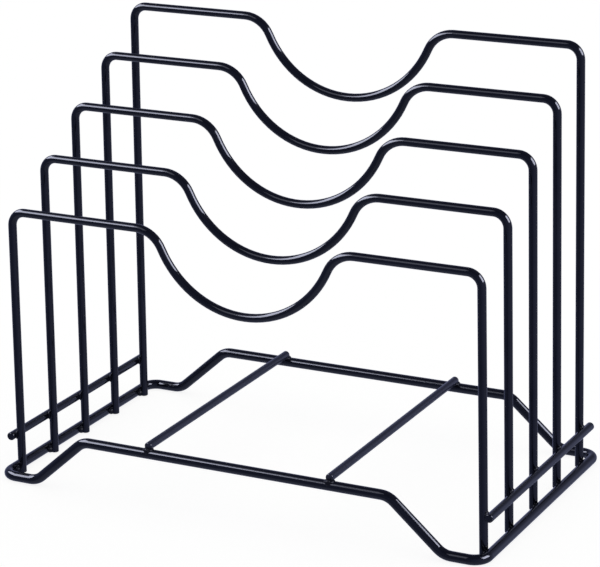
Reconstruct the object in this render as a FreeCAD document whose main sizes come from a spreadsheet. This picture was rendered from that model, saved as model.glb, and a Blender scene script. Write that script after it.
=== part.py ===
import FreeCAD, Part
import math
import os
import Sketcher

# Wire rack for pot lids: five bent dividers of rising height, welded into a bent base ring.
# Frame: X across the rack, Y from the low front divider to the tall back one, Z up.
# The origin is on the floor, under the middle of the base ring.

os.makedirs("parts", exist_ok=True)
doc = FreeCAD.newDocument("PotLidRack")

# Driving dimensions, in millimetres and degrees
drivingSizes = [
    ("base_wire", 6.0, "diameter of the base ring's wire"),
    ("divider_wire", 5.0, "diameter of the dividers' wire"),
    ("rod_wire", 5.0, "diameter of the side rods"),
    ("crossbar_wire", 4.8, "diameter of the crossbars"),
    ("weld_setdown", 0.8, "how far two crossing wires sink together at a weld"),
    ("leg_spacing", 300.0, "between leg centres, at the height of the side rails"),
    ("leg_lean", 0.7, "degrees that each leg leans inwards"),
    ("leg_tail", 2.3, "leg below the centre of the side rail"),
    ("leg_end_round", 0.4, "rounding of the legs' cut ends"),
    ("divider_pitch", 36.4, "from one divider to the next"),
    ("front_margin", 13.1, "from the ring's front rail to the front divider"),
    ("back_margin", 16.0, "from the back divider to the ring's back rail"),
    ("first_height", 160.5, "top of the front divider above the side rails, wire centres"),
    ("height_step", 23.4, "rise from one divider to the next"),
    ("corner_radius", 8.5, "bend between leg and top, at the wire's centre"),
    ("shoulder_radius", 17.8, "bend from the flat top down into the scoop"),
    ("scoop_radius", 57.5, "round scoop that a lid rests in"),
    ("scoop_depth", 44.3, "from the flat top down to the scoop's bottom"),
    ("scoop_offset", 3.7, "the front scoop sits this far right of the divider's middle"),
    ("scoop_drift", -1.1, "sideways shift of each scoop from the one in front of it"),
    ("ring_corner_radius", 8.4, "the ring's four corners, seen from above"),
    ("foot_length", 18.7, "from the side rail in to the first upward bend"),
    ("ramp_angle", 41.5, "degrees that the front and back rails climb"),
    ("ramp_bend_radius", 12.0, "bends at both ends of a ramp"),
    ("rail_rise", 29.3, "raised rails above the ring's feet"),
    ("rod_height", 21.3, "side rods above the side rails"),
    ("rod_front_overhang", 4.2, "side rods past the front divider"),
    ("rod_back_overhang", 6.6, "side rods past the back divider"),
    ("rod_stagger", 1.2, "the left rod sits this far forward, and the right one as far back"),
    ("crossbar_spacing", 116.4, "between the two crossbars"),
    ("crossbar_offset", 4.0, "the pair of crossbars sits this far to the right"),
    ("crossbar_front_overhang", 0.5, "crossbars past the front rail's centre"),
    ("crossbar_back_overhang", 0.7, "crossbars past the back rail's centre"),
    ("rod_end_round", 0.8, "rounding of the cut ends of rods and crossbars"),
]
dividerCount = 5
spaces = dividerCount - 1

sheet = doc.addObject("Spreadsheet::Sheet", "Sizes")
for row, (alias, value, note) in enumerate(drivingSizes, start=1):
    sheet.set(f"A{row}", str(value))
    sheet.setAlias(f"A{row}", alias)
    sheet.set(f"B{row}", note)

# Sizes that follow from the driving ones
derived = doc.addObject("App::VarSet", "Derived")


def derive(name, expression):
    derived.addProperty("App::PropertyFloat", name)
    derived.setExpression(name, expression)


derive("RailRadius", "Sizes.base_wire / 2")
derive("DividerRadius", "Sizes.divider_wire / 2")
derive("RodRadius", "Sizes.rod_wire / 2")
derive("CrossbarRadius", "Sizes.crossbar_wire / 2")
derive("RailSeat", "RailRadius + DividerRadius - Sizes.weld_setdown")
derive("RodSeat", "RodRadius + DividerRadius - Sizes.weld_setdown")
derive("CrossbarSeat", "RailRadius + CrossbarRadius - Sizes.weld_setdown")

derive("LegX", "Sizes.leg_spacing / 2")
derive("LegEndX", "LegX + Sizes.leg_tail * tan(Sizes.leg_lean * 1 deg)")
derive("LegSlope", "90 - Sizes.leg_lean")
derive("RailX", "LegX + RailSeat / cos(Sizes.leg_lean * 1 deg)")
derive("RodLegX", "LegX - Sizes.rod_height * tan(Sizes.leg_lean * 1 deg)")
derive("RodX", "RodLegX + RodSeat / cos(Sizes.leg_lean * 1 deg)")
derive("RailY", f"(Sizes.front_margin + {spaces} * Sizes.divider_pitch + Sizes.back_margin) / 2")
for number in range(1, dividerCount + 1):
    steps = number - 1
    derive(f"DividerY{number}", f"Sizes.front_margin + {steps} * Sizes.divider_pitch - RailY")
    derive(f"Height{number}", f"Sizes.first_height + {steps} * Sizes.height_step")
    derive(f"ScoopX{number}", f"Sizes.scoop_offset + {steps} * Sizes.scoop_drift")
    derive(f"ScoopZ{number}", f"Height{number} - Sizes.scoop_depth + Sizes.scoop_radius")

derive("CornerX", "RailX - Sizes.ring_corner_radius")
derive("FootEndX", "RailX - Sizes.foot_length")

derive("RodFront", "RailY - Sizes.front_margin + Sizes.rod_front_overhang")
derive("RodBack", "RailY - Sizes.back_margin + Sizes.rod_back_overhang")
derive("RodLength", "RodFront + RodBack")
derive("CrossbarFront", "RailY + Sizes.crossbar_front_overhang")
derive("CrossbarLength", "CrossbarFront + RailY + Sizes.crossbar_back_overhang")
doc.recompute()

# Names for a sketch's point positions, its axes and its origin
start, end, centre = range(1, 4)
horizontalAxis, verticalAxis = range(-1, -3, -1)
origin = (horizontalAxis, start)


def current(path):
    """The value of a size, named by its owner and its own name."""
    owner, name = path.split(".")
    return float(getattr(doc.getObject(owner), name))


def addBody(label, places):
    body = doc.addObject("PartDesign::Body", label)
    body.Label = label
    for axis, expression in places.items():
        body.setExpression("Placement.Base." + axis, expression)
    return body


def originPlane(body, role):
    return [item for item in body.Origin.OriginFeatures if item.Role == role][0]


def addSketch(body, name, plane, offset=None):
    """A sketch on one of the body's own origin planes, moved along the plane's normal."""
    sketch = body.newObject("Sketcher::SketchObject", name)
    sketch.AttachmentSupport = [(originPlane(body, plane), "")]
    sketch.MapMode = "FlatFace"
    if offset:
        sketch.setExpression("AttachmentOffset.Base.z", offset)
    return sketch


def addLine(sketch, first, last):
    segment = Part.LineSegment(FreeCAD.Vector(*first, 0), FreeCAD.Vector(*last, 0))
    return sketch.addGeometry(segment, False)


def addArc(sketch, middle, radius, firstAngle, lastAngle):
    """An arc drawn anticlockwise, its angles in degrees."""
    circle = Part.Circle(FreeCAD.Vector(*middle, 0), FreeCAD.Vector(0, 0, 1), radius)
    arc = Part.ArcOfCircle(circle, math.radians(firstAngle), math.radians(lastAngle))
    return sketch.addGeometry(arc, False)


def fix(sketch, kind, references, path):
    """A driving dimension that follows a named size."""
    value = current(path)
    if kind == "Angle":
        value = math.radians(value)
    index = sketch.addConstraint(Sketcher.Constraint(kind, *references, value))
    name = f"{path.split('.')[1]}_{index}"
    sketch.renameConstraint(index, name)
    sketch.setExpression("Constraints." + name, path)


def constrain(sketch, kind, *references):
    sketch.addConstraint(Sketcher.Constraint(kind, *references))


def place(sketch, point, left=None, right=None, up=None, down=None):
    """Hold a point at named distances from the sketch's origin, or on its axes."""
    if left:
        fix(sketch, "DistanceX", (*point, *origin), left)
    elif right:
        fix(sketch, "DistanceX", (*origin, *point), right)
    else:
        constrain(sketch, "PointOnObject", *point, verticalAxis)
    if up:
        fix(sketch, "DistanceY", (*origin, *point), up)
    elif down:
        fix(sketch, "DistanceY", (*point, *origin), down)
    else:
        constrain(sketch, "PointOnObject", *point, horizontalAxis)


def addCircle(sketch, radius, **distances):
    """A circle of a named radius, its centre placed by named distances."""
    signs = {"left": -1, "right": 1, "down": -1, "up": 1}
    middle = {"left": 0, "right": 0, "down": 0, "up": 0}
    for side, path in distances.items():
        middle[side] = signs[side] * current(path)
    centrePoint = FreeCAD.Vector(middle["left"] + middle["right"], middle["down"] + middle["up"], 0)
    circle = Part.Circle(centrePoint, FreeCAD.Vector(0, 0, 1), current(radius))
    index = sketch.addGeometry(circle, False)
    fix(sketch, "Radius", (index,), radius)
    place(sketch, (index, centre), **distances)


def joinTangent(sketch, pairs):
    """Join each element's end to the next one's, smoothly, as in one bent wire."""
    for first, second in pairs:
        constrain(sketch, "Tangent", *first, *second)


def addPipe(body, name, profile, path):
    pipe = body.newObject("PartDesign::AdditivePipe", name)
    pipe.Profile = profile
    pipe.Spine = (path, [])
    return pipe


def addRod(body, radius, front, length):
    """A straight wire along Y, its front end at a named distance ahead of the body's origin."""
    section = addSketch(body, "Section", "XZ_Plane", offset=front)
    addCircle(section, radius)
    rod = body.newObject("PartDesign::Pad", "Rod")
    rod.Profile = section
    rod.Reversed = True
    rod.setExpression("Length", length)
    doc.recompute()
    roundEnds(body, rod, "Sizes.rod_end_round")


def roundEnds(body, feature, size):
    """Round the rims of a wire's flat cut ends."""
    rims = set()
    for face in feature.Shape.Faces:
        if face.Surface.isPlanar():
            for edge in face.Edges:
                names = [f"Edge{i}" for i, other in enumerate(feature.Shape.Edges, 1) if other.isSame(edge)]
                rims.update(names)
    fillet = body.newObject("PartDesign::Fillet", "EndRounds")
    fillet.Base = (feature, sorted(rims))
    fillet.setExpression("Radius", size)


def cutSeats(body, sketch, length):
    """Cut the shallow saddles where other wires sink into this one at the welds."""
    seats = body.newObject("PartDesign::Pocket", "WeldSeats")
    seats.Profile = sketch
    seats.SideType = "Symmetric"
    seats.setExpression("Length", length)


def mirrorFeature(body, name, feature, plane):
    mirrored = body.newObject("PartDesign::Mirrored", name)
    mirrored.Originals = [feature]
    mirrored.MirrorPlane = (originPlane(body, plane), [""])
    body.Tip = mirrored
    doc.recompute()


# Base ring: one wire, flat on the floor along both sides and at its four feet,
# with the front and back rails raised between the feet.
def makeBaseRing():
    body = addBody("base_ring", {"z": "Derived.RailRadius"})
    railX = current("Derived.RailX")
    railY = current("Derived.RailY")
    cornerX = current("Derived.CornerX")
    cornerRadius = current("Sizes.ring_corner_radius")

    bow = addSketch(body, "SideBow", "XY_Plane")
    cornerY = railY - cornerRadius
    frontCorner = addArc(bow, (-cornerX, -cornerY), cornerRadius, 180, 270)
    sideRail = addLine(bow, (-railX, -cornerY), (-railX, cornerY))
    backCorner = addArc(bow, (-cornerX, cornerY), cornerRadius, 90, 180)
    joinTangent(bow, [((frontCorner, start), (sideRail, start)), ((sideRail, end), (backCorner, end))])
    constrain(bow, "Vertical", sideRail)
    fix(bow, "Radius", (frontCorner,), "Sizes.ring_corner_radius")
    constrain(bow, "Equal", frontCorner, backCorner)
    place(bow, (frontCorner, end), left="Derived.CornerX", down="Derived.RailY")
    place(bow, (backCorner, start), left="Derived.CornerX", up="Derived.RailY")
    fix(bow, "DistanceX", (sideRail, start, *origin), "Derived.RailX")

    # The raised rail climbs from the left foot and comes down to the right one.
    rail = addSketch(body, "RaisedRail", "XZ_Plane", offset="Derived.RailY")
    bend = current("Sizes.ramp_bend_radius")
    rise = current("Sizes.rail_rise")
    angle = current("Sizes.ramp_angle")
    slope = math.radians(angle)
    footEndX = current("Derived.FootEndX")
    lowBend = (-footEndX, bend)
    rampStart = (lowBend[0] + bend * math.sin(slope), bend * (1 - math.cos(slope)))
    rampHeight = rise - 2 * bend * (1 - math.cos(slope))
    rampEnd = (rampStart[0] + rampHeight / math.tan(slope), rise - rampStart[1])
    highBend = (rampEnd[0] + bend * math.sin(slope), rise - bend)
    leftFoot = addLine(rail, (-cornerX, 0), (-footEndX, 0))
    leftLow = addArc(rail, lowBend, bend, 270, 270 + angle)
    leftRamp = addLine(rail, rampStart, rampEnd)
    leftHigh = addArc(rail, highBend, bend, 90, 90 + angle)
    top = addLine(rail, (highBend[0], rise), (-highBend[0], rise))
    rightHigh = addArc(rail, (-highBend[0], highBend[1]), bend, 90 - angle, 90)
    rightRamp = addLine(rail, (-rampEnd[0], rampEnd[1]), (-rampStart[0], rampStart[1]))
    rightLow = addArc(rail, (-lowBend[0], lowBend[1]), bend, 270 - angle, 270)
    rightFoot = addLine(rail, (footEndX, 0), (cornerX, 0))
    joinTangent(rail, [
        ((leftFoot, end), (leftLow, start)), ((leftLow, end), (leftRamp, start)),
        ((leftRamp, end), (leftHigh, end)), ((leftHigh, start), (top, start)),
        ((top, end), (rightHigh, end)), ((rightHigh, start), (rightRamp, start)),
        ((rightRamp, end), (rightLow, start)), ((rightLow, end), (rightFoot, start)),
    ])
    place(rail, (leftFoot, start), left="Derived.CornerX")
    place(rail, (leftFoot, end), left="Derived.FootEndX")
    fix(rail, "Angle", (leftRamp,), "Sizes.ramp_angle")
    constrain(rail, "Horizontal", top)
    fix(rail, "DistanceY", (*origin, top, start), "Sizes.rail_rise")
    fix(rail, "Radius", (leftLow,), "Sizes.ramp_bend_radius")
    for other in (leftHigh, rightHigh, rightLow):
        constrain(rail, "Equal", leftLow, other)
    constrain(rail, "Symmetric", leftFoot, start, rightFoot, end, verticalAxis)
    constrain(rail, "Symmetric", leftFoot, end, rightFoot, start, verticalAxis)
    constrain(rail, "Equal", leftRamp, rightRamp)

    section = addSketch(body, "Section", "YZ_Plane", offset="-Derived.CornerX")
    addCircle(section, "Derived.RailRadius", left="Derived.RailY")
    leftBow = addPipe(body, "LeftBow", section, bow)
    frontRail = addPipe(body, "FrontRail", section, rail)
    doc.recompute()
    mirrorFeature(body, "RightBow", leftBow, "YZ_Plane")
    mirrorFeature(body, "BackRail", frontRail, "XZ_Plane")
    return body


# Divider: one wire, up the left leg, along a flat top that dips into a round scoop,
# and down the right leg.
def makeDivider(number):
    body = addBody(f"divider_{number}", {"y": f"Derived.DividerY{number}", "z": "Derived.RailRadius"})
    height = current(f"Derived.Height{number}")
    corner = current("Sizes.corner_radius")
    shoulder = current("Sizes.shoulder_radius")
    scoop = current("Sizes.scoop_radius")
    leanAngle = current("Sizes.leg_lean")
    lean = math.radians(leanAngle)
    legX = current("Derived.LegX")
    legEndX = current("Derived.LegEndX")
    tail = current("Sizes.leg_tail")

    cornerZ = height - corner
    cornerX = legX - cornerZ * math.tan(lean) - corner / math.cos(lean)
    legTop = (cornerX + corner * math.cos(lean), cornerZ + corner * math.sin(lean))
    scoopX = current(f"Derived.ScoopX{number}")
    scoopZ = current(f"Derived.ScoopZ{number}")
    shoulderZ = height - shoulder
    drop = math.asin((scoopZ - shoulderZ) / (scoop + shoulder))
    reach = (scoop + shoulder) * math.cos(drop)
    leftX = scoopX - reach
    rightX = scoopX + reach
    turn = math.degrees(drop)

    path = addSketch(body, "Path", "XZ_Plane")
    leftLeg = addLine(path, (-legEndX, -tail), (-legTop[0], legTop[1]))
    leftCorner = addArc(path, (-cornerX, cornerZ), corner, 90, 180 - leanAngle)
    leftTop = addLine(path, (-cornerX, height), (leftX, height))
    leftShoulder = addArc(path, (leftX, shoulderZ), shoulder, turn, 90)
    bottom = addArc(path, (scoopX, scoopZ), scoop, 180 + turn, 360 - turn)
    rightShoulder = addArc(path, (rightX, shoulderZ), shoulder, 90, 180 - turn)
    rightTop = addLine(path, (rightX, height), (cornerX, height))
    rightCorner = addArc(path, (cornerX, cornerZ), corner, leanAngle, 90)
    rightLeg = addLine(path, legTop, (legEndX, -tail))
    joinTangent(path, [
        ((leftLeg, end), (leftCorner, end)), ((leftCorner, start), (leftTop, start)),
        ((leftTop, end), (leftShoulder, end)), ((leftShoulder, start), (bottom, start)),
        ((bottom, end), (rightShoulder, end)), ((rightShoulder, start), (rightTop, start)),
        ((rightTop, end), (rightCorner, end)), ((rightCorner, start), (rightLeg, start)),
    ])
    place(path, (leftLeg, start), left="Derived.LegEndX", down="Sizes.leg_tail")
    fix(path, "Angle", (leftLeg,), "Derived.LegSlope")
    constrain(path, "Horizontal", leftTop)
    fix(path, "DistanceY", (*origin, leftTop, start), f"Derived.Height{number}")
    fix(path, "Radius", (leftCorner,), "Sizes.corner_radius")
    fix(path, "Radius", (leftShoulder,), "Sizes.shoulder_radius")
    fix(path, "Radius", (bottom,), "Sizes.scoop_radius")
    fix(path, "DistanceX", (*origin, bottom, centre), f"Derived.ScoopX{number}")
    fix(path, "DistanceY", (*origin, bottom, centre), f"Derived.ScoopZ{number}")
    constrain(path, "Symmetric", leftLeg, start, rightLeg, end, verticalAxis)
    constrain(path, "Symmetric", leftLeg, end, rightLeg, start, verticalAxis)
    constrain(path, "Horizontal", rightTop)
    constrain(path, "Equal", leftCorner, rightCorner)
    constrain(path, "Equal", leftShoulder, rightShoulder)

    # The wire's section is square to the leaning leg, at its lower end
    section = addSketch(body, "Section", "XY_Plane", offset="-Sizes.leg_tail")
    section.AttachmentOffset = FreeCAD.Placement(
        FreeCAD.Vector(-legEndX, 0, -tail), FreeCAD.Rotation(FreeCAD.Vector(0, 1, 0), leanAngle))
    section.setExpression("AttachmentOffset.Base.x", "-Derived.LegEndX")
    section.setExpression("AttachmentOffset.Rotation.Angle", "Sizes.leg_lean")
    addCircle(section, "Derived.DividerRadius")
    wire = addPipe(body, "Wire", section, path)
    doc.recompute()
    roundEnds(body, wire, "Sizes.leg_end_round")

    seats = addSketch(body, "SeatSection", "XZ_Plane")
    for side in ("left", "right"):
        addCircle(seats, "Derived.RailRadius", **{side: "Derived.RailX"})
        addCircle(seats, "Derived.RodRadius", up="Sizes.rod_height", **{side: "Derived.RodX"})
    cutSeats(body, seats, "2 * Sizes.divider_wire")
    return body


# Side rod: ties the five legs of one side together, on their outer side.
def makeSideRod(side, sign):
    places = {
        "x": f"{sign} * Derived.RodX",
        "y": f"{sign} * Sizes.rod_stagger",
        "z": "Derived.RailRadius + Sizes.rod_height",
    }
    body = addBody("side_rod_" + side, places)
    addRod(body, "Derived.RodRadius", "Derived.RodFront", "Derived.RodLength")
    return body


# Crossbar: lies across the two raised rails and is welded down on both.
def makeCrossbar(side, sign):
    places = {
        "x": f"{sign} * Sizes.crossbar_spacing / 2 + Sizes.crossbar_offset",
        "z": "Derived.RailRadius + Sizes.rail_rise + Derived.CrossbarSeat",
    }
    body = addBody("crossbar_" + side, places)
    addRod(body, "Derived.CrossbarRadius", "Derived.CrossbarFront", "Derived.CrossbarLength")
    seats = addSketch(body, "SeatSection", "YZ_Plane")
    for rail in ("left", "right"):
        addCircle(seats, "Derived.RailRadius", down="Derived.CrossbarSeat", **{rail: "Derived.RailY"})
    cutSeats(body, seats, "2 * Sizes.crossbar_wire")
    return body


bodies = [makeBaseRing()]
for number in range(1, dividerCount + 1):
    bodies.append(makeDivider(number))
for side, sign in (("left", -1), ("right", 1)):
    bodies.append(makeSideRod(side, sign))
    bodies.append(makeCrossbar(side, sign))
doc.recompute()

# Every feature has to be sound before anything is written
for item in doc.Objects:
    if "Invalid" in item.State or "Error" in item.State:
        raise RuntimeError(f"{item.Label} failed: {item.State}")
for body in bodies:
    if body.Shape.isNull() or not body.Shape.isValid() or len(body.Shape.Solids) != 1:
        raise RuntimeError(f"{body.Label} is not one sound solid")
for body in bodies:
    body.Shape.exportStep(f"parts/{body.Label}.step")
    box = body.Shape.BoundBox
    print(f"{body.Label}: {body.Shape.Volume:.0f} mm3, {box.XLength:.1f} x {box.YLength:.1f} x {box.ZLength:.1f} mm")
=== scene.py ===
import bpy
import math
from mathutils import Euler, Matrix, Vector


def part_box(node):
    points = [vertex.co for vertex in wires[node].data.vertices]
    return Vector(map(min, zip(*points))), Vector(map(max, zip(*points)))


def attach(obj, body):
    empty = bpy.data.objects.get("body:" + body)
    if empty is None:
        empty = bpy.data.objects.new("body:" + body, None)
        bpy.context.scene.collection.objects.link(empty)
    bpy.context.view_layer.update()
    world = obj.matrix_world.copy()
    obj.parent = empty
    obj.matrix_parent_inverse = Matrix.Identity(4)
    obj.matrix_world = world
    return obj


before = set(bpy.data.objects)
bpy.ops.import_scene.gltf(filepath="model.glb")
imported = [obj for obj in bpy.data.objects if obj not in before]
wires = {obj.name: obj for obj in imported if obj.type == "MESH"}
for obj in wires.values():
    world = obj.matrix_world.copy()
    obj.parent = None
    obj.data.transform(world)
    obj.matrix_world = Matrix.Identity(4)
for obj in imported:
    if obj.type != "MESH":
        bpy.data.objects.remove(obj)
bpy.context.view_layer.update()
print("frame loaded with", len(wires), "wires")

# lengths in metres; x runs across the rack, y from the low front divider to the tall back one, z up


# black coat: glossy powder coat everywhere; duller on the crossbars, whose paler colour is painted sheen for
# the brighter light they catch; dull in the welds, whose lowered reflection and slightly darker colour are
# painted shade in the creases
coat = {
    "wire": {
        "thickColor": (0.0022, 0.0025, 0.0050),   # where the film is thick
        "thinColor": (0.0050, 0.0055, 0.0105),
        "highGloss": 0.07,                        # roughness where the film is smoothest
        "lowGloss": 0.12,
        "specular": 0.5,
    },
    # crossbars: these paler colours are painted sheen, the same black coat drawn lighter for the brighter light
    # these wires catch; the rougher gloss is the coat's own
    "crossbar": {
        "thickColor": (0.0135, 0.0148, 0.0265),
        "thinColor": (0.0205, 0.0220, 0.0380),
        "highGloss": 0.22,
        "lowGloss": 0.32,
        "specular": 0.5,
    },
    # welds: the lowered specular and slightly darker colours are painted shade in the creases; the rough gloss
    # is the weld's own
    "weld": {
        "thickColor": (0.0020, 0.0022, 0.0045),
        "thinColor": (0.0045, 0.0050, 0.0095),
        "highGloss": 0.36,
        "lowGloss": 0.50,
        "specular": 0.22,
    },
    "clouding": 70,             # soft patches per metre
    "cloudDetail": 4,
    "grainDensity": 2600,       # fine grains per metre
    "grainDetail": 2,
    "grainShare": 0.35,         # how much the grains add to the patches
    "thickUpTo": 0.42,          # patch height where the film starts to thin
    "thinFrom": 0.95,
    "glossFrom": 0.35,          # patch heights between the two roughnesses
    "glossTo": 1.0,
    "waveDensity": 190,         # slow waves in the film
    "waveDetail": 1,
    "waveDepth": 0.000014,
    "peelDensity": 850,         # orange peel, cells per metre
    "peelDetail": 2,
    "peelDepth": 0.000005,
    "ior": 1.5,
}


def link(tree, source, output, target, socket):
    tree.links.new(source.outputs[output], target.inputs[socket])


def addNode(tree, kind, where, **settings):
    node = tree.nodes.new(kind)
    node.location = where
    for name, value in settings.items():
        setattr(node, name, value)
    return node


def makeNoise(tree, place, density, detail, where):
    noise = addNode(tree, "ShaderNodeTexNoise", where)
    noise.inputs["Scale"].default_value = density
    noise.inputs["Detail"].default_value = detail
    link(tree, place, "Object", noise, "Vector")
    return noise


def makeCoat(name, finish):
    # clouds and grains drive both the colour and the gloss; the bumps stay far too shallow to change an outline
    material = bpy.data.materials.new(name)
    material.use_nodes = True
    tree = material.node_tree
    shader = tree.nodes["Principled BSDF"]
    place = addNode(tree, "ShaderNodeTexCoord", (-1200, 0))

    clouds = makeNoise(tree, place, coat["clouding"], coat["cloudDetail"], (-900, 300))
    grains = makeNoise(tree, place, coat["grainDensity"], coat["grainDetail"], (-900, 60))
    both = addNode(tree, "ShaderNodeMath", (-680, 200), operation="MULTIPLY_ADD")
    link(tree, grains, "Fac", both, 0)
    both.inputs[1].default_value = coat["grainShare"]
    link(tree, clouds, "Fac", both, 2)

    tint = addNode(tree, "ShaderNodeValToRGB", (-460, 300))
    tint.color_ramp.elements[0].position = coat["thickUpTo"]
    tint.color_ramp.elements[0].color = (*finish["thickColor"], 1)
    tint.color_ramp.elements[1].position = coat["thinFrom"]
    tint.color_ramp.elements[1].color = (*finish["thinColor"], 1)
    link(tree, both, "Value", tint, "Fac")
    link(tree, tint, "Color", shader, "Base Color")

    gloss = addNode(tree, "ShaderNodeMapRange", (-460, 20))
    gloss.inputs["From Min"].default_value = coat["glossFrom"]
    gloss.inputs["From Max"].default_value = coat["glossTo"]
    gloss.inputs["To Min"].default_value = finish["highGloss"]
    gloss.inputs["To Max"].default_value = finish["lowGloss"]
    link(tree, both, "Value", gloss, "Value")
    link(tree, gloss, "Result", shader, "Roughness")

    waves = makeNoise(tree, place, coat["waveDensity"], coat["waveDetail"], (-900, -220))
    waveBump = addNode(tree, "ShaderNodeBump", (-460, -260))
    waveBump.inputs["Distance"].default_value = coat["waveDepth"]
    link(tree, waves, "Fac", waveBump, "Height")
    peel = makeNoise(tree, place, coat["peelDensity"], coat["peelDetail"], (-900, -480))
    peelBump = addNode(tree, "ShaderNodeBump", (-240, -380))
    peelBump.inputs["Distance"].default_value = coat["peelDepth"]
    link(tree, peel, "Fac", peelBump, "Height")
    link(tree, waveBump, "Normal", peelBump, "Normal")
    link(tree, peelBump, "Normal", shader, "Normal")

    shader.inputs["Metallic"].default_value = 0
    shader.inputs["IOR"].default_value = coat["ior"]
    shader.inputs["Specular IOR Level"].default_value = finish["specular"]
    return material


blackCoat = makeCoat("blackCoat", coat["wire"])
# the crossbars' coat is the same coat drawn paler, as painted sheen
paintedSheenBarCoat = makeCoat("paintedSheenBarCoat", coat["crossbar"])
# the welds' coat reflects less and is a little darker, as painted shade in the creases; its dullness is the
# weld's own
paintedShadeWeldCoat = makeCoat("paintedShadeWeldCoat", coat["weld"])
for name, wire in wires.items():
    wire.material_slots[0].material = paintedSheenBarCoat if name.startswith("crossbar") else blackCoat
print("black coat on every wire")


# welds: where two wires cross, each has sunk a little into the other,
# and the metal pressed out round the seat fills the crease between them under the coat
weld = {
    "railRadius": 0.003,        # the base ring's wire
    "setDown": 0.0008,          # how far the wires have sunk together
    "tuck": 0.00006,            # the skin lies this far under the wires' own surface
    "core": 0.0062,             # half the length of wire under the skin
    "coreSides": 48,
    "endTaper": 0.86,           # the skin's ends are drawn in to this, so they vanish inside the wire
    "endFacing": 0.99,          # a face that looks this straight along the wire is one of its ends
    "endRound": 0.0008,         # the rods' and crossbars' rounded ends stay bare
    "beadSegments": 32,
    "beadRings": 16,
    "rodBead": (0.0013, 0.0027, 0.0031),       # half thickness in the seat, and reach along and up
    "footBead": (0.0023, 0.0040, 0.0024),      # bigger where the leg ends on the rail
    "footBeadAhead": 0.0006,                   # and further forward and lower than the leg's middle
    "footBeadLow": 0.0005,
    "barBead": (0.0033, 0.0033, 0.0013),       # flat, between the bar and the rail
    "barDrop": (0.0017, 0.0013, 0.0021),       # runs down the rail's outer face under the bar's end
    "barDropOut": 0.0021,                      # its distance out and up from the rail's middle
    "voxel": 0.00022,
    "smoothStrength": 0.5,
    "smoothSteps": 10,
}


def clearSelection():
    if bpy.context.object and bpy.context.object.mode != "OBJECT":
        bpy.ops.object.mode_set(mode="OBJECT")
    bpy.ops.object.select_all(action="DESELECT")


def turnFor(axis):
    return Vector((0, 0, 1)).rotation_difference(Vector(axis)).to_euler()


def addCore(centre, axis, radius, forward, backward):
    # a length of wire just under the real one's surface, its ends drawn in
    clearSelection()
    axis = Vector(axis)
    centre = Vector(centre)
    middle = centre + axis * (forward - backward) / 2
    bpy.ops.mesh.primitive_cylinder_add(vertices=weld["coreSides"], radius=radius - weld["tuck"],
                                        depth=forward + backward, location=middle, rotation=turnFor(axis))
    core = bpy.context.object
    bpy.ops.object.transform_apply(location=True, rotation=True, scale=True)
    for side, reach in ((1, forward), (-1, backward)):
        bpy.ops.object.mode_set(mode="EDIT")
        bpy.ops.mesh.select_mode(type="FACE")
        bpy.ops.mesh.select_all(action="DESELECT")
        bpy.ops.object.mode_set(mode="OBJECT")
        for face in core.data.polygons:
            face.select = face.normal.dot(axis) * side > weld["endFacing"]
        bpy.ops.object.mode_set(mode="EDIT")
        bpy.ops.transform.resize(value=[weld["endTaper"]] * 3, center_override=centre + axis * side * reach)
        bpy.ops.object.mode_set(mode="OBJECT")
    return core


def addBead(centre, spread):
    # the metal pressed out of the seat, half its size given along x, y and z
    clearSelection()
    bpy.ops.mesh.primitive_uv_sphere_add(segments=weld["beadSegments"], ring_count=weld["beadRings"],
                                         radius=1, location=centre)
    bpy.context.object.scale = spread
    bpy.ops.object.transform_apply(location=True, rotation=True, scale=True)
    return bpy.context.object


def finishWeld(name, shapes):
    # one closed skin over the wires and the bead, its creases smoothed into fillets
    clearSelection()
    for shape in shapes:
        shape.select_set(True)
    bpy.context.view_layer.objects.active = shapes[0]
    bpy.ops.object.join()
    piece = bpy.context.object
    piece.name = name
    piece.data.name = name
    remesh = piece.modifiers.new("skin", "REMESH")
    remesh.mode = "VOXEL"
    remesh.voxel_size = weld["voxel"]
    bpy.ops.object.modifier_apply(modifier="skin")
    smooth = piece.modifiers.new("fillet", "SMOOTH")
    smooth.factor = weld["smoothStrength"]
    smooth.iterations = weld["smoothSteps"]
    bpy.ops.object.modifier_apply(modifier="fillet")
    bpy.ops.object.mode_set(mode="EDIT")
    bpy.ops.mesh.select_all(action="SELECT")
    bpy.ops.mesh.normals_make_consistent(inside=False)
    bpy.ops.object.mode_set(mode="OBJECT")
    bpy.ops.object.shade_smooth()
    bpy.ops.object.transform_apply(location=True, rotation=True, scale=True)
    piece.data.materials.clear()
    # the weld takes the coat with painted crease shade
    piece.data.materials.append(paintedShadeWeldCoat)
    return piece


def copyTo(piece, name, shift):
    clearSelection()
    piece.select_set(True)
    bpy.context.view_layer.objects.active = piece
    bpy.ops.object.duplicate_move(OBJECT_OT_duplicate={"linked": False},
                                  TRANSFORM_OT_translate={"value": shift})
    bpy.ops.object.transform_apply(location=True, rotation=True, scale=True)
    bpy.context.object.name = name
    bpy.context.object.data.name = name
    return bpy.context.object


def rideAll(pieces):
    for piece in pieces:
        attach(piece, "root")


def middleOf(name):
    low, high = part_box(name)
    return (low + high) / 2


def radiusOf(name, axis):
    low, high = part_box(name)
    return (high - low)[axis] / 2


dividers = sorted(name for name in wires if name.startswith("divider"))
ringLow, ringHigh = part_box("base_ring")
legRadius = radiusOf(dividers[0], 1)
rodRadius = radiusOf("side_rod_left", 2)
barRadius = radiusOf("crossbar_left", 0)
railRadius = weld["railRadius"]
along = (0, 1, 0)
upright = (0, 0, 1)
across = (1, 0, 0)


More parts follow.
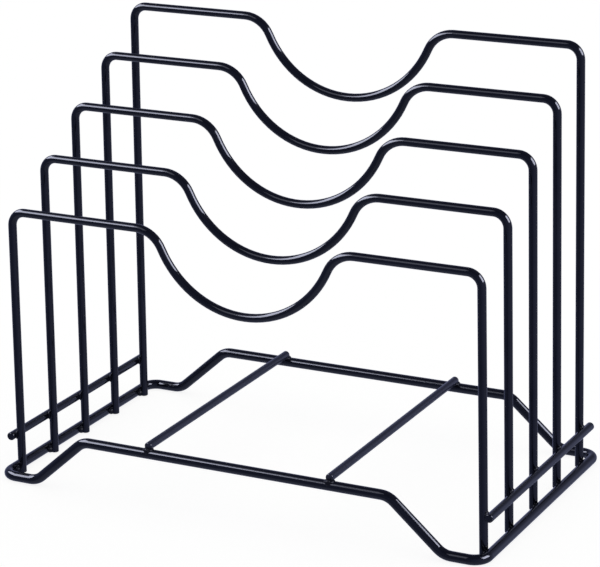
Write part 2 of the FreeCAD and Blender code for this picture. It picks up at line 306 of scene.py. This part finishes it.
def makeLegWelds(place, side, outer, outerRadius, reach, legBelow, bead, ahead, low):
    # one leg on the inner side of a wire that runs along the rack, copied to the other four
    firstY = middleOf(dividers[0]).y
    legX = outer.x - side * (outerRadius + legRadius - weld["setDown"])
    seatX = outer.x - side * (outerRadius - weld["setDown"] / 2)
    shapes = [
        addCore((outer.x, firstY, outer.z), along, outerRadius, *reach),
        addCore((legX, firstY, outer.z), upright, legRadius, weld["core"], legBelow),
        addBead((seatX, firstY - ahead, outer.z - low), bead),
    ]
    sideName = "right" if side > 0 else "left"
    made = [finishWeld(f"weld_{place}_{sideName}_1", shapes)]
    for number, divider in enumerate(dividers[1:], start=2):
        shift = (0, middleOf(divider).y - firstY, 0)
        made.append(copyTo(made[0], f"weld_{place}_{sideName}_{number}", shift))
    rideAll(made)


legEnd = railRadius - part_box(dividers[0])[0].z    # how far the legs reach below the rail's middle
bare = weld["endRound"] + weld["tuck"]            # what stays clear of a rod's or bar's cut end
for side, rodName in ((-1, "side_rod_left"), (1, "side_rod_right")):
    edge = ringHigh.x if side > 0 else ringLow.x
    rail = Vector((edge - side * railRadius, 0, railRadius))
    makeLegWelds("rail", side, rail, railRadius, (weld["core"], weld["core"]), legEnd - weld["tuck"],
                 weld["footBead"], weld["footBeadAhead"], weld["footBeadLow"])
    rodLow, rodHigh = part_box(rodName)
    beyond = (rodHigh.y - middleOf(dividers[-1]).y, middleOf(dividers[0]).y - rodLow.y)
    reach = [min(end - bare, weld["core"]) for end in beyond]
    makeLegWelds("rod", side, middleOf(rodName), rodRadius, reach, weld["core"], weld["rodBead"], 0, 0)
print("legs welded to the rails and rods")


def makeBarWelds(place, sign):
    # the left crossbar lying on a raised rail, copied to the right one
    left, right = middleOf("crossbar_left"), middleOf("crossbar_right")
    barLow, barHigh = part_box("crossbar_left")
    railY = (ringHigh.y if sign > 0 else ringLow.y) - sign * railRadius
    railZ = ringHigh.z - railRadius
    ahead = abs((barHigh.y if sign > 0 else barLow.y) - railY) - bare
    ends = (ahead, weld["core"]) if sign > 0 else (weld["core"], ahead)
    seatZ = ringHigh.z - weld["setDown"] / 2
    shapes = [
        addCore((left.x, railY, railZ), across, railRadius, weld["core"], weld["core"]),
        addCore((left.x, railY, left.z), along, barRadius, *ends),
        addBead((left.x, railY, seatZ), weld["barBead"]),
        addBead((left.x, railY + sign * weld["barDropOut"], railZ + weld["barDropOut"]), weld["barDrop"]),
    ]
    first = finishWeld(f"weld_{place}_left", shapes)
    rideAll([first, copyTo(first, f"weld_{place}_right", (right.x - left.x, 0, 0))])


makeBarWelds("front", -1)
makeBarWelds("back", 1)
print("crossbars welded to the front and back rails")


# studio
studio = {
    "floorSize": 14,
    "floorColor": (0.31, 0.300, 0.235),    # warm, to even out the bluish room
    "floorMottle": 0.985,                  # its darkest patches against that colour
    "mottleDensity": 6,                    # patches per metre
    "mottleDetail": 3,
    "floorRoughness": 0.9,
    "floorGlow": 0.883,                    # the white table lights the rack from below
    "overhead": 0.8,                       # one soft light from above, for the contact shadows
    "overheadHeight": 2,
    "overheadSpread": 100,                 # degrees
    "brightSide": (0.55, 0.83, 0.0),       # the room is light behind and right of the rack
    "dimFrom": 0.25,                       # and darker overhead, from this height of view
    "dimTo": 0.75,
    "ceiling": 0.4,
    "tableShade": (0.28, 0.31, 0.47),      # what the undersides mirror, below these heights of view
    "tableFrom": -0.36,
    "tableTo": -0.60,
}

# what the coat mirrors: place between the dark side of the room, 0, and the bright one, 1, and colour
roomShades = [
    (0.02, (0.11, 0.13, 0.25)),
    (0.28, (0.19, 0.22, 0.42)),
    (0.77, (0.33, 0.36, 0.60)),
    (0.86, (0.21, 0.23, 0.36)),
    (0.94, (0.24, 0.26, 0.42)),
    (0.98, (0.30, 0.33, 0.53)),
    (1.00, (0.42, 0.46, 0.74)),
]

# softboxes, seen only as highlights in the coat; angles in degrees, sizes in metres
softboxes = {
    "boxLeft": {
        "azimuth": -113, "elevation": 40, "distance": 1.2,
        "width": 1.26, "height": 0.45, "glow": 9.5,
    },
    "boxLeftEdge": {
        "azimuth": -136, "elevation": 46, "distance": 1.2,
        "width": 1.05, "height": 0.60, "glow": 1.5,
    },
    "boxRight": {
        "azimuth": 82, "elevation": 34, "distance": 1.6,
        "width": 1.16, "height": 0.80, "glow": 12.5,
    },
}
softboxTint = (0.78, 0.81, 1.0)


def makeFloor():
    clearSelection()
    bpy.ops.mesh.primitive_plane_add(size=studio["floorSize"], location=(0, 0, 0))
    floor = bpy.context.object
    floor.name = "floor"
    material = bpy.data.materials.new("paleFloor")
    material.use_nodes = True
    tree = material.node_tree
    shader = tree.nodes["Principled BSDF"]
    place = addNode(tree, "ShaderNodeTexCoord", (-900, 0))
    mottle = makeNoise(tree, place, studio["mottleDensity"], studio["mottleDetail"], (-700, 0))
    tint = addNode(tree, "ShaderNodeValToRGB", (-460, 0))
    patches = [part * studio["floorMottle"] for part in studio["floorColor"]]
    tint.color_ramp.elements[0].color = (*patches, 1)
    tint.color_ramp.elements[1].color = (*studio["floorColor"], 1)
    link(tree, mottle, "Fac", tint, "Fac")
    link(tree, tint, "Color", shader, "Base Color")
    shader.inputs["Roughness"].default_value = studio["floorRoughness"]
    shader.inputs["Specular IOR Level"].default_value = 0
    shader.inputs["Emission Color"].default_value = (1, 1, 1, 1)
    shader.inputs["Emission Strength"].default_value = studio["floorGlow"]
    floor.data.materials.append(material)
    floor.visible_glossy = False               # the coat mirrors the dim room, not the floor


def makeSoftbox(name, box):
    # faces the rack's base, and lights no matt surface
    azimuth = math.radians(box["azimuth"])
    elevation = math.radians(box["elevation"])
    level = math.cos(elevation)
    aim = Vector((math.sin(azimuth) * level, math.cos(azimuth) * level, math.sin(elevation)))
    bpy.ops.object.light_add(type="AREA", location=aim * box["distance"])
    light = bpy.context.object
    light.name = name
    light.rotation_euler = aim.to_track_quat("Z", "Y").to_euler()
    light.data.shape = "RECTANGLE"
    light.data.size = box["width"]
    light.data.size_y = box["height"]
    light.data.energy = math.pi * box["width"] * box["height"] * box["glow"]
    light.data.color = softboxTint
    light.visible_diffuse = False


def makeOverhead():
    bpy.ops.object.light_add(type="SUN", location=(0, 0, studio["overheadHeight"]))
    light = bpy.context.object
    light.name = "overhead"
    light.data.energy = studio["overhead"]
    light.data.angle = math.radians(studio["overheadSpread"])
    light.visible_glossy = False


def makeRoom():
    # shades by side, the table's from below, dimmer overhead, and white where the camera sees past the floor
    world = bpy.data.worlds.new("room")
    world.use_nodes = True
    tree = world.node_tree
    room = tree.nodes["Background"]
    place = addNode(tree, "ShaderNodeTexCoord", (-900, 0))
    side = addNode(tree, "ShaderNodeVectorMath", (-700, 0), operation="DOT_PRODUCT")
    side.inputs[1].default_value = studio["brightSide"]
    link(tree, place, "Generated", side, 0)
    where = addNode(tree, "ShaderNodeMapRange", (-500, 0))
    where.inputs["From Min"].default_value = -1
    where.inputs["From Max"].default_value = 1
    link(tree, side, "Value", where, "Value")
    shades = addNode(tree, "ShaderNodeValToRGB", (-300, 0))
    for position, shade in roomShades[1:-1]:
        shades.color_ramp.elements.new(position)
    for stop, (position, shade) in zip(shades.color_ramp.elements, roomShades):
        stop.position = position
        stop.color = (*shade, 1)
    link(tree, where, "Result", shades, "Fac")
    direction = addNode(tree, "ShaderNodeSeparateXYZ", (-700, -240))
    link(tree, place, "Generated", direction, "Vector")
    below = addNode(tree, "ShaderNodeMapRange", (-300, 260))
    below.inputs["From Min"].default_value = studio["tableFrom"]
    below.inputs["From Max"].default_value = studio["tableTo"]
    link(tree, direction, "Z", below, "Value")
    table = addNode(tree, "ShaderNodeMix", (-100, 100), data_type="RGBA")
    table.inputs["B"].default_value = (*studio["tableShade"], 1)
    link(tree, below, "Result", table, "Factor")
    link(tree, shades, "Color", table, "A")
    link(tree, table, "Result", room, "Color")
    dimming = addNode(tree, "ShaderNodeMapRange", (-300, -240))
    dimming.inputs["From Min"].default_value = studio["dimFrom"]
    dimming.inputs["From Max"].default_value = studio["dimTo"]
    dimming.inputs["To Min"].default_value = 1
    dimming.inputs["To Max"].default_value = studio["ceiling"]
    link(tree, direction, "Z", dimming, "Value")
    link(tree, dimming, "Result", room, "Strength")
    backdrop = addNode(tree, "ShaderNodeBackground", (100, -200))
    backdrop.inputs["Color"].default_value = (1, 1, 1, 1)
    rays = addNode(tree, "ShaderNodeLightPath", (100, 300))
    seen = addNode(tree, "ShaderNodeMixShader", (300, 100))
    link(tree, rays, "Is Camera Ray", seen, 0)
    link(tree, room, "Background", seen, 1)
    link(tree, backdrop, "Background", seen, 2)
    link(tree, seen, "Shader", tree.nodes["World Output"], "Surface")
    bpy.context.scene.world = world


makeFloor()
for name, box in softboxes.items():
    makeSoftbox(name, box)
makeOverhead()
makeRoom()
bpy.context.scene.view_settings.view_transform = "Standard"
print("floor, softboxes and room set")


# camera, at the photograph's own viewing angle
view = {
    "location": (0.6690, -1.3052, 0.5877),
    "azimuth": 27.095,          # degrees, as are the next two
    "elevation": 17.798,
    "roll": -1.003,
    "lens": 157.64,             # millimetres, as is the sensor
    "sensor": 36,
    "farEnd": 100,
}


def makeCamera():
    bpy.ops.object.camera_add(location=view["location"])
    camera = bpy.context.object
    level = Euler((math.radians(90 - view["elevation"]), 0, math.radians(view["azimuth"]))).to_matrix()
    camera.rotation_euler = (level @ Matrix.Rotation(math.radians(view["roll"]), 3, "Z")).to_euler()
    camera.data.lens = view["lens"]
    camera.data.sensor_width = view["sensor"]
    camera.data.clip_end = view["farEnd"]
    bpy.context.scene.camera = camera


makeCamera()
print("camera placed")
